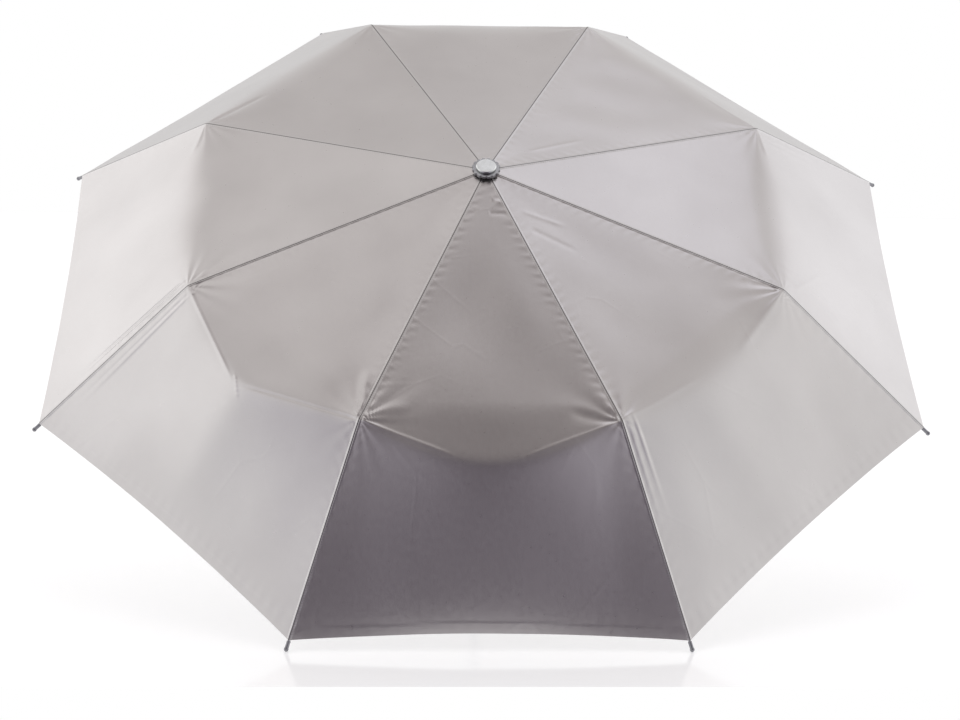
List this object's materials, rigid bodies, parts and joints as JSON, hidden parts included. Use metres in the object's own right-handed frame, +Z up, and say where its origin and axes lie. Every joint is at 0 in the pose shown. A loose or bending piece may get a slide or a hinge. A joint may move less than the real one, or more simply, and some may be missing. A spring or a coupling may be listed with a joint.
{
  "type": "folding umbrella reflector",
  "caption": "Open folding umbrella with a silver reflective canopy, three-section ribs, a sliding runner and a telescopic shaft that ends in a plain stem",
  "frame": {"origin": "on the ground, under the middle of the object's box, with the open umbrella resting on two neighbouring rib tips and on the end of its stem", "axes": "+X across the canopy, to the right when its outer side is faced, +Y from the canopy's low front edge towards the stem and the raised back edge, +Z up"},
  "size_m": [0.8904, 0.6872, 0.573],
  "materials": {
    "canopy_cloth": "silver-coated satin weave",
    "cap_metal": "polished",
    "washer_metal": "darkened, notched rim",
    "tip_metal": "plated",
    "rib_steel": "zinc-plated",
    "shaft_metal": "polished tube",
    "black_nylon": "moulded",
    "grey_nylon": "moulded"
  },
  "bodies": {
    "root": {"canopy": "canopy_cloth", "top_cap": "cap_metal", "crown_washer": "washer_metal", "top_notch": "black_nylon", "notch_wire": "rib_steel", "top_tube": "shaft_metal"},
    "middle_tube": {"middle_tube": "shaft_metal"},
    "bottom_tube": {"bottom_tube": "shaft_metal", "stem_cap": "black_nylon"},
    "runner": {"runner": "black_nylon", "runner_wire": "rib_steel"},
    "runner_button": {"runner_button": "grey_nylon"},
    "top_rib_1": {"top_rib_1": "rib_steel"},
    "mid_rib_1": {"mid_rib_1": "rib_steel"},
    "outer_rib_1": {"outer_rib_1": "rib_steel", "tip_cap_1": "tip_metal"},
    "stretcher_1": {"stretcher_1": "rib_steel"},
    "link_rod_1": {"link_rod_1": "rib_steel"},
    "top_rib_2": {"top_rib_2": "rib_steel"},
    "mid_rib_2": {"mid_rib_2": "rib_steel"},
    "outer_rib_2": {"outer_rib_2": "rib_steel", "tip_cap_2": "tip_metal"},
    "stretcher_2": {"stretcher_2": "rib_steel"},
    "link_rod_2": {"link_rod_2": "rib_steel"},
    "top_rib_3": {"top_rib_3": "rib_steel"},
    "mid_rib_3": {"mid_rib_3": "rib_steel"},
    "outer_rib_3": {"outer_rib_3": "rib_steel", "tip_cap_3": "tip_metal"},
    "stretcher_3": {"stretcher_3": "rib_steel"},
    "link_rod_3": {"link_rod_3": "rib_steel"},
    "top_rib_4": {"top_rib_4": "rib_steel"},
    "mid_rib_4": {"mid_rib_4": "rib_steel"},
    "outer_rib_4": {"outer_rib_4": "rib_steel", "tip_cap_4": "tip_metal"},
    "stretcher_4": {"stretcher_4": "rib_steel"},
    "link_rod_4": {"link_rod_4": "rib_steel"},
    "top_rib_5": {"top_rib_5": "rib_steel"},
    "mid_rib_5": {"mid_rib_5": "rib_steel"},
    "outer_rib_5": {"outer_rib_5": "rib_steel", "tip_cap_5": "tip_metal"},
    "stretcher_5": {"stretcher_5": "rib_steel"},
    "link_rod_5": {"link_rod_5": "rib_steel"},
    "top_rib_6": {"top_rib_6": "rib_steel"},
    "mid_rib_6": {"mid_rib_6": "rib_steel"},
    "outer_rib_6": {"outer_rib_6": "rib_steel", "tip_cap_6": "tip_metal"},
    "stretcher_6": {"stretcher_6": "rib_steel"},
    "link_rod_6": {"link_rod_6": "rib_steel"},
    "top_rib_7": {"top_rib_7": "rib_steel"},
    "mid_rib_7": {"mid_rib_7": "rib_steel"},
    "outer_rib_7": {"outer_rib_7": "rib_steel", "tip_cap_7": "tip_metal"},
    "stretcher_7": {"stretcher_7": "rib_steel"},
    "link_rod_7": {"link_rod_7": "rib_steel"},
    "top_rib_8": {"top_rib_8": "rib_steel"},
    "mid_rib_8": {"mid_rib_8": "rib_steel"},
    "outer_rib_8": {"outer_rib_8": "rib_steel", "tip_cap_8": "tip_metal"},
    "stretcher_8": {"stretcher_8": "rib_steel"},
    "link_rod_8": {"link_rod_8": "rib_steel"}
  },
  "joints": [
    {"name": "runner_slide", "type": "slide", "parent": "root", "child": "runner", "axis": [0, 0.6373, -0.7706], "range_m": [0, 0.17147], "deforming": ["canopy"]},
    {"name": "middle_tube_slide", "type": "slide", "parent": "root", "child": "middle_tube", "axis": [0, -0.6373, 0.7706], "range_m": [0, 0.145]},
    {"name": "bottom_tube_slide", "type": "slide", "parent": "middle_tube", "child": "bottom_tube", "axis": [0, -0.6373, 0.7706], "range_m": [0, 0.145]},
    {"name": "runner_button_press", "type": "slide", "parent": "runner", "child": "runner_button", "axis": [0, 0.7706, 0.6373], "range_m": [0, 0.001], "stiffness_N_per_m": 400},
    {"name": "top_rib_1_hinge", "type": "hinge", "parent": "root", "child": "top_rib_1", "pos_m": [0.00421, -0.11776, 0.40981], "axis": [0.9239, 0.2949, 0.2439], "range_deg": [0, 81.35]},
    {"name": "mid_rib_1_hinge", "type": "hinge", "parent": "top_rib_1", "child": "mid_rib_1", "pos_m": [0.06198, -0.21588, 0.30962], "axis": [-0.9239, -0.2949, -0.2439], "range_deg": [0, 179.05]},
    {"name": "outer_rib_1_hinge", "type": "hinge", "parent": "mid_rib_1", "child": "outer_rib_1", "pos_m": [0.11905, -0.30476, 0.20087], "axis": [0.9239, 0.2949, 0.2439], "range_deg": [0, 149.31]},
    {"name": "stretcher_1_hinge", "type": "hinge", "parent": "top_rib_1", "child": "stretcher_1", "pos_m": [0.04209, -0.17914, 0.34054], "axis": [-0.9239, -0.2949, -0.2439], "range_deg": [0, 162.65]},
    {"name": "link_rod_1_hinge", "type": "hinge", "parent": "stretcher_1", "child": "link_rod_1", "pos_m": [0.0383, -0.17118, 0.34527], "axis": [0.9239, 0.2949, 0.2439], "range_deg": [0, 162.65]},
    {"name": "top_rib_2_hinge", "type": "hinge", "parent": "root", "child": "top_rib_2", "pos_m": [0.01016, -0.11317, 0.4136], "axis": [0.3827, 0.712, 0.5888], "range_deg": [0, 81.35]},
    {"name": "mid_rib_2_hinge", "type": "hinge", "parent": "top_rib_2", "child": "mid_rib_2", "pos_m": [0.14962, -0.14833, 0.36547], "axis": [-0.3827, -0.712, -0.5888], "range_deg": [0, 179.05]},
    {"name": "outer_rib_2_hinge", "type": "hinge", "parent": "mid_rib_2", "child": "outer_rib_2", "pos_m": [0.28742, -0.17501, 0.30817], "axis": [0.3827, 0.712, 0.5888], "range_deg": [0, 149.31]},
    {"name": "stretcher_2_hinge", "type": "hinge", "parent": "top_rib_2", "child": "stretcher_2", "pos_m": [0.10161, -0.13327, 0.37847], "axis": [-0.3827, -0.712, -0.5888], "range_deg": [0, 162.65]},
    {"name": "link_rod_2_hinge", "type": "hinge", "parent": "stretcher_2", "child": "link_rod_2", "pos_m": [0.09246, -0.12944, 0.37978], "axis": [0.3827, 0.712, 0.5888], "range_deg": [0, 162.65]},
    {"name": "top_rib_3_hinge", "type": "hinge", "parent": "root", "child": "top_rib_3", "pos_m": [0.01016, -0.10668, 0.41896], "axis": [-0.3827, 0.712, 0.5888], "range_deg": [0, 81.35]},
    {"name": "mid_rib_3_hinge", "type": "hinge", "parent": "top_rib_3", "child": "mid_rib_3", "pos_m": [0.14962, -0.05281, 0.44447], "axis": [0.3827, -0.712, -0.5888], "range_deg": [0, 179.05]},
    {"name": "outer_rib_3_hinge", "type": "hinge", "parent": "mid_rib_3", "child": "outer_rib_3", "pos_m": [0.28742, 0.00848, 0.45992], "axis": [-0.3827, 0.712, 0.5888], "range_deg": [0, 149.31]},
    {"name": "stretcher_3_hinge", "type": "hinge", "parent": "top_rib_3", "child": "stretcher_3", "pos_m": [0.10161, -0.0684, 0.43211], "axis": [0.3827, -0.712, -0.5888], "range_deg": [0, 162.65]},
    {"name": "link_rod_3_hinge", "type": "hinge", "parent": "stretcher_3", "child": "link_rod_3", "pos_m": [0.09246, -0.07042, 0.4286], "axis": [-0.3827, 0.712, 0.5888], "range_deg": [0, 162.65]},
    {"name": "top_rib_4_hinge", "type": "hinge", "parent": "root", "child": "top_rib_4", "pos_m": [0.00421, -0.1021, 0.42276], "axis": [-0.9239, 0.2949, 0.2439], "range_deg": [0, 81.35]},
    {"name": "mid_rib_4_hinge", "type": "hinge", "parent": "top_rib_4", "child": "mid_rib_4", "pos_m": [0.06198, 0.01473, 0.50032], "axis": [0.9239, -0.2949, -0.2439], "range_deg": [0, 179.05]},
    {"name": "outer_rib_4_hinge", "type": "hinge", "parent": "mid_rib_4", "child": "outer_rib_4", "pos_m": [0.11905, 0.13822, 0.56722], "axis": [-0.9239, 0.2949, 0.2439], "range_deg": [0, 149.31]},
    {"name": "stretcher_4_hinge", "type": "hinge", "parent": "top_rib_4", "child": "stretcher_4", "pos_m": [0.04209, -0.02254, 0.47004], "axis": [0.9239, -0.2949, -0.2439], "range_deg": [0, 162.65]},
    {"name": "link_rod_4_hinge", "type": "hinge", "parent": "stretcher_4", "child": "link_rod_4", "pos_m": [0.0383, -0.02868, 0.46312], "axis": [-0.9239, 0.2949, 0.2439], "range_deg": [0, 162.65]},
    {"name": "top_rib_5_hinge", "type": "hinge", "parent": "root", "child": "top_rib_5", "pos_m": [-0.00421, -0.1021, 0.42276], "axis": [-0.9239, -0.2949, -0.2439], "range_deg": [0, 81.35]},
    {"name": "mid_rib_5_hinge", "type": "hinge", "parent": "top_rib_5", "child": "mid_rib_5", "pos_m": [-0.06198, 0.01473, 0.50032], "axis": [0.9239, 0.2949, 0.2439], "range_deg": [0, 179.05]},
    {"name": "outer_rib_5_hinge", "type": "hinge", "parent": "mid_rib_5", "child": "outer_rib_5", "pos_m": [-0.11905, 0.13822, 0.56722], "axis": [-0.9239, -0.2949, -0.2439], "range_deg": [0, 149.31]},
    {"name": "stretcher_5_hinge", "type": "hinge", "parent": "top_rib_5", "child": "stretcher_5", "pos_m": [-0.04209, -0.02254, 0.47004], "axis": [0.9239, 0.2949, 0.2439], "range_deg": [0, 162.65]},
    {"name": "link_rod_5_hinge", "type": "hinge", "parent": "stretcher_5", "child": "link_rod_5", "pos_m": [-0.0383, -0.02868, 0.46312], "axis": [-0.9239, -0.2949, -0.2439], "range_deg": [0, 162.65]},
    {"name": "top_rib_6_hinge", "type": "hinge", "parent": "root", "child": "top_rib_6", "pos_m": [-0.01016, -0.10668, 0.41896], "axis": [-0.3827, -0.712, -0.5888], "range_deg": [0, 81.35]},
    {"name": "mid_rib_6_hinge", "type": "hinge", "parent": "top_rib_6", "child": "mid_rib_6", "pos_m": [-0.14962, -0.05281, 0.44447], "axis": [0.3827, 0.712, 0.5888], "range_deg": [0, 179.05]},
    {"name": "outer_rib_6_hinge", "type": "hinge", "parent": "mid_rib_6", "child": "outer_rib_6", "pos_m": [-0.28742, 0.00848, 0.45992], "axis": [-0.3827, -0.712, -0.5888], "range_deg": [0, 149.31]},
    {"name": "stretcher_6_hinge", "type": "hinge", "parent": "top_rib_6", "child": "stretcher_6", "pos_m": [-0.10161, -0.0684, 0.43211], "axis": [0.3827, 0.712, 0.5888], "range_deg": [0, 162.65]},
    {"name": "link_rod_6_hinge", "type": "hinge", "parent": "stretcher_6", "child": "link_rod_6", "pos_m": [-0.09246, -0.07042, 0.4286], "axis": [-0.3827, -0.712, -0.5888], "range_deg": [0, 162.65]},
    {"name": "top_rib_7_hinge", "type": "hinge", "parent": "root", "child": "top_rib_7", "pos_m": [-0.01016, -0.11317, 0.4136], "axis": [0.3827, -0.712, -0.5888], "range_deg": [0, 81.35]},
    {"name": "mid_rib_7_hinge", "type": "hinge", "parent": "top_rib_7", "child": "mid_rib_7", "pos_m": [-0.14962, -0.14833, 0.36547], "axis": [-0.3827, 0.712, 0.5888], "range_deg": [0, 179.05]},
    {"name": "outer_rib_7_hinge", "type": "hinge", "parent": "mid_rib_7", "child": "outer_rib_7", "pos_m": [-0.28742, -0.17501, 0.30817], "axis": [0.3827, -0.712, -0.5888], "range_deg": [0, 149.31]},
    {"name": "stretcher_7_hinge", "type": "hinge", "parent": "top_rib_7", "child": "stretcher_7", "pos_m": [-0.10161, -0.13327, 0.37847], "axis": [-0.3827, 0.712, 0.5888], "range_deg": [0, 162.65]},
    {"name": "link_rod_7_hinge", "type": "hinge", "parent": "stretcher_7", "child": "link_rod_7", "pos_m": [-0.09246, -0.12944, 0.37978], "axis": [0.3827, -0.712, -0.5888], "range_deg": [0, 162.65]},
    {"name": "top_rib_8_hinge", "type": "hinge", "parent": "root", "child": "top_rib_8", "pos_m": [-0.00421, -0.11776, 0.40981], "axis": [0.9239, -0.2949, -0.2439], "range_deg": [0, 81.35]},
    {"name": "mid_rib_8_hinge", "type": "hinge", "parent": "top_rib_8", "child": "mid_rib_8", "pos_m": [-0.06198, -0.21588, 0.30962], "axis": [-0.9239, 0.2949, 0.2439], "range_deg": [0, 179.05]},
    {"name": "outer_rib_8_hinge", "type": "hinge", "parent": "mid_rib_8", "child": "outer_rib_8", "pos_m": [-0.11905, -0.30476, 0.20087], "axis": [0.9239, -0.2949, -0.2439], "range_deg": [0, 149.31]},
    {"name": "stretcher_8_hinge", "type": "hinge", "parent": "top_rib_8", "child": "stretcher_8", "pos_m": [-0.04209, -0.17914, 0.34054], "axis": [-0.9239, 0.2949, 0.2439], "range_deg": [0, 162.65]},
    {"name": "link_rod_8_hinge", "type": "hinge", "parent": "stretcher_8", "child": "link_rod_8", "pos_m": [-0.0383, -0.17118, 0.34527], "axis": [0.9239, -0.2949, -0.2439], "range_deg": [0, 162.65]}
  ],
  "couplings": [
    {"joint": "top_rib_1_hinge", "follows": "runner_slide", "rad_per_m": 8.2754},
    {"joint": "mid_rib_1_hinge", "follows": "runner_slide", "rad_per_m": 18.22},
    {"joint": "outer_rib_1_hinge", "follows": "runner_slide", "rad_per_m": 15.193},
    {"joint": "stretcher_1_hinge", "follows": "runner_slide", "rad_per_m": 16.551},
    {"joint": "link_rod_1_hinge", "follows": "runner_slide", "rad_per_m": 16.551},
    {"joint": "top_rib_2_hinge", "follows": "runner_slide", "rad_per_m": 8.2754},
    {"joint": "mid_rib_2_hinge", "follows": "runner_slide", "rad_per_m": 18.22},
    {"joint": "outer_rib_2_hinge", "follows": "runner_slide", "rad_per_m": 15.193},
    {"joint": "stretcher_2_hinge", "follows": "runner_slide", "rad_per_m": 16.551},
    {"joint": "link_rod_2_hinge", "follows": "runner_slide", "rad_per_m": 16.551},
    {"joint": "top_rib_3_hinge", "follows": "runner_slide", "rad_per_m": 8.2754},
    {"joint": "mid_rib_3_hinge", "follows": "runner_slide", "rad_per_m": 18.22},
    {"joint": "outer_rib_3_hinge", "follows": "runner_slide", "rad_per_m": 15.193},
    {"joint": "stretcher_3_hinge", "follows": "runner_slide", "rad_per_m": 16.551},
    {"joint": "link_rod_3_hinge", "follows": "runner_slide", "rad_per_m": 16.551},
    {"joint": "top_rib_4_hinge", "follows": "runner_slide", "rad_per_m": 8.2754},
    {"joint": "mid_rib_4_hinge", "follows": "runner_slide", "rad_per_m": 18.22},
    {"joint": "outer_rib_4_hinge", "follows": "runner_slide", "rad_per_m": 15.193},
    {"joint": "stretcher_4_hinge", "follows": "runner_slide", "rad_per_m": 16.551},
    {"joint": "link_rod_4_hinge", "follows": "runner_slide", "rad_per_m": 16.551},
    {"joint": "top_rib_5_hinge", "follows": "runner_slide", "rad_per_m": 8.2754},
    {"joint": "mid_rib_5_hinge", "follows": "runner_slide", "rad_per_m": 18.22},
    {"joint": "outer_rib_5_hinge", "follows": "runner_slide", "rad_per_m": 15.193},
    {"joint": "stretcher_5_hinge", "follows": "runner_slide", "rad_per_m": 16.551},
    {"joint": "link_rod_5_hinge", "follows": "runner_slide", "rad_per_m": 16.551},
    {"joint": "top_rib_6_hinge", "follows": "runner_slide", "rad_per_m": 8.2754},
    {"joint": "mid_rib_6_hinge", "follows": "runner_slide", "rad_per_m": 18.22},
    {"joint": "outer_rib_6_hinge", "follows": "runner_slide", "rad_per_m": 15.193},
    {"joint": "stretcher_6_hinge", "follows": "runner_slide", "rad_per_m": 16.551},
    {"joint": "link_rod_6_hinge", "follows": "runner_slide", "rad_per_m": 16.551},
    {"joint": "top_rib_7_hinge", "follows": "runner_slide", "rad_per_m": 8.2754},
    {"joint": "mid_rib_7_hinge", "follows": "runner_slide", "rad_per_m": 18.22},
    {"joint": "outer_rib_7_hinge", "follows": "runner_slide", "rad_per_m": 15.193},
    {"joint": "stretcher_7_hinge", "follows": "runner_slide", "rad_per_m": 16.551},
    {"joint": "link_rod_7_hinge", "follows": "runner_slide", "rad_per_m": 16.551},
    {"joint": "top_rib_8_hinge", "follows": "runner_slide", "rad_per_m": 8.2754},
    {"joint": "mid_rib_8_hinge", "follows": "runner_slide", "rad_per_m": 18.22},
    {"joint": "outer_rib_8_hinge", "follows": "runner_slide", "rad_per_m": 15.193},
    {"joint": "stretcher_8_hinge", "follows": "runner_slide", "rad_per_m": 16.551},
    {"joint": "link_rod_8_hinge", "follows": "runner_slide", "rad_per_m": 16.551}
  ]
}
